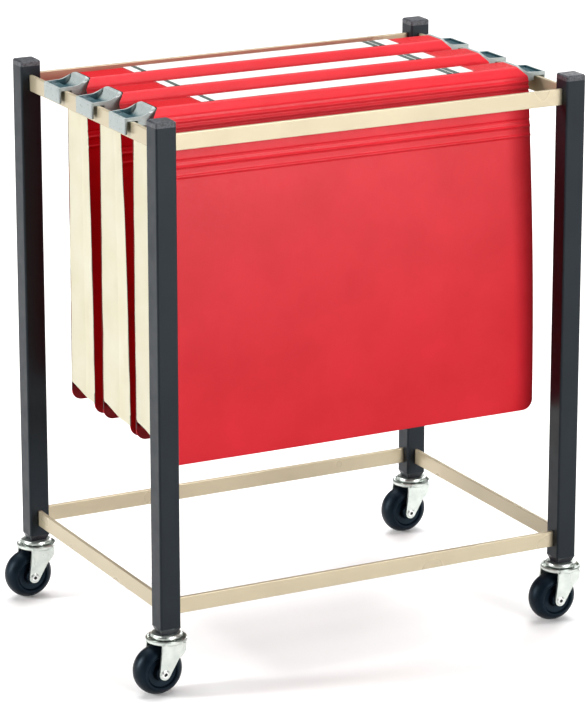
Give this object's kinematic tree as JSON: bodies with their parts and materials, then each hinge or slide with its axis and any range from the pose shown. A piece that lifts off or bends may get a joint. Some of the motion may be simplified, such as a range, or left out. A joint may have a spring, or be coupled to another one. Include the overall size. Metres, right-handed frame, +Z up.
{
  "type": "hanging file rack",
  "caption": "Low rolling rack of square posts and flat rails, on swivel casters, that carries suspension files by their end hooks.",
  "frame": {"origin": "on the floor, at the middle of the footprint's box with every caster trailing to the left; the frame's own centre is 5.5 mm to the right of it", "axes": "+Z up along the posts, +X to the right along the long rails, +Y from the front file to the rear file"},
  "size_m": [0.371, 0.26, 0.42],
  "materials": {
    "post_paint": "semi-gloss black enamel on steel tube",
    "cap_plastic": "fine grained black moulding",
    "insert_plastic": "plain black moulding",
    "rail_plate": "pale cream-gold satin plating on flat steel bar",
    "zinc_plate": "bright zinc plating on pressed steel",
    "bearing_steel": "polished hardened steel",
    "rivet_steel": "zinc plated rolled rivet",
    "wheel_rubber": "moulded hard rubber with a dull sheen",
    "cover_board": "red coloured board with a faint linen emboss",
    "gusset_cloth": "cream woven cloth",
    "hook_plastic": "light grey moulding",
    "bar_steel": "plain rolled steel strip",
    "label_paper": "white card with blank colour bars",
    "label_plastic": "clear strip"
  },
  "bodies": {
    "frame": {"post_front_left": "post_paint", "cap_front_left": "cap_plastic", "caster_insert_front_left": "insert_plastic", "caster_race_front_left": "zinc_plate", "post_front_right": "post_paint", "cap_front_right": "cap_plastic", "caster_insert_front_right": "insert_plastic", "caster_race_front_right": "zinc_plate", "post_rear_left": "post_paint", "cap_rear_left": "cap_plastic", "caster_insert_rear_left": "insert_plastic", "caster_race_rear_left": "zinc_plate", "post_rear_right": "post_paint", "cap_rear_right": "cap_plastic", "caster_insert_rear_right": "insert_plastic", "caster_race_rear_right": "zinc_plate", "top_rail_front": "rail_plate", "top_rail_rear": "rail_plate", "top_rail_left": "rail_plate", "top_rail_right": "rail_plate", "bottom_rail_front": "rail_plate", "bottom_rail_rear": "rail_plate", "bottom_rail_left": "rail_plate", "bottom_rail_right": "rail_plate", "caster_king_pins": "zinc_plate", "caster_balls": "bearing_steel"},
    "fork_front_left": {"caster_fork_front_left": "zinc_plate", "caster_axle_front_left": "rivet_steel"},
    "wheel_front_left": {"caster_wheel_front_left": "wheel_rubber"},
    "fork_front_right": {"caster_fork_front_right": "zinc_plate", "caster_axle_front_right": "rivet_steel"},
    "wheel_front_right": {"caster_wheel_front_right": "wheel_rubber"},
    "fork_rear_left": {"caster_fork_rear_left": "zinc_plate", "caster_axle_rear_left": "rivet_steel"},
    "wheel_rear_left": {"caster_wheel_rear_left": "wheel_rubber"},
    "fork_rear_right": {"caster_fork_rear_right": "zinc_plate", "caster_axle_rear_right": "rivet_steel"},
    "wheel_rear_right": {"caster_wheel_rear_right": "wheel_rubber"},
    "file_front": {"file_front_cover": "cover_board", "file_front_gussets": "gusset_cloth", "file_front_hook_left": "hook_plastic", "file_front_hook_right": "hook_plastic", "file_front_hanger_bars": "bar_steel", "file_front_label_card": "label_paper", "file_front_label_window": "label_plastic"},
    "file_middle": {"file_middle_cover": "cover_board", "file_middle_gussets": "gusset_cloth", "file_middle_hook_left": "hook_plastic", "file_middle_hook_right": "hook_plastic", "file_middle_hanger_bars": "bar_steel", "file_middle_label_card": "label_paper", "file_middle_label_window": "label_plastic"},
    "file_rear": {"file_rear_cover": "cover_board", "file_rear_gussets": "gusset_cloth", "file_rear_hook_left": "hook_plastic", "file_rear_hook_right": "hook_plastic", "file_rear_hanger_bars": "bar_steel", "file_rear_label_card": "label_paper", "file_rear_label_window": "label_plastic"}
  },
  "joints": [
    {"name": "swivel_front_left", "type": "hinge", "parent": "frame", "child": "fork_front_left", "pos_m": [-0.1595, -0.115, 0.042], "axis": [0, 0, 1], "continuous": true},
    {"name": "roll_front_left", "type": "hinge", "parent": "fork_front_left", "child": "wheel_front_left", "pos_m": [-0.167, -0.115, 0.0185], "axis": [0, 1, 0], "continuous": true},
    {"name": "swivel_front_right", "type": "hinge", "parent": "frame", "child": "fork_front_right", "pos_m": [0.1705, -0.115, 0.042], "axis": [0, 0, 1], "continuous": true},
    {"name": "roll_front_right", "type": "hinge", "parent": "fork_front_right", "child": "wheel_front_right", "pos_m": [0.163, -0.115, 0.0185], "axis": [0, 1, 0], "continuous": true},
    {"name": "swivel_rear_left", "type": "hinge", "parent": "frame", "child": "fork_rear_left", "pos_m": [-0.1595, 0.115, 0.042], "axis": [0, 0, 1], "continuous": true},
    {"name": "roll_rear_left", "type": "hinge", "parent": "fork_rear_left", "child": "wheel_rear_left", "pos_m": [-0.167, 0.115, 0.0185], "axis": [0, 1, 0], "continuous": true},
    {"name": "swivel_rear_right", "type": "hinge", "parent": "frame", "child": "fork_rear_right", "pos_m": [0.1705, 0.115, 0.042], "axis": [0, 0, 1], "continuous": true},
    {"name": "roll_rear_right", "type": "hinge", "parent": "fork_rear_right", "child": "wheel_rear_right", "pos_m": [0.163, 0.115, 0.0185], "axis": [0, 1, 0], "continuous": true},
    {"name": "lift_front_file", "type": "slide", "parent": "frame", "child": "file_front", "axis": [0, 0, 1], "range_m": [0, 0.27]},
    {"name": "lift_middle_file", "type": "slide", "parent": "frame", "child": "file_middle", "axis": [0, 0, 1], "range_m": [0, 0.27]},
    {"name": "lift_rear_file", "type": "slide", "parent": "frame", "child": "file_rear", "axis": [0, 0, 1], "range_m": [0, 0.27]}
  ]
}
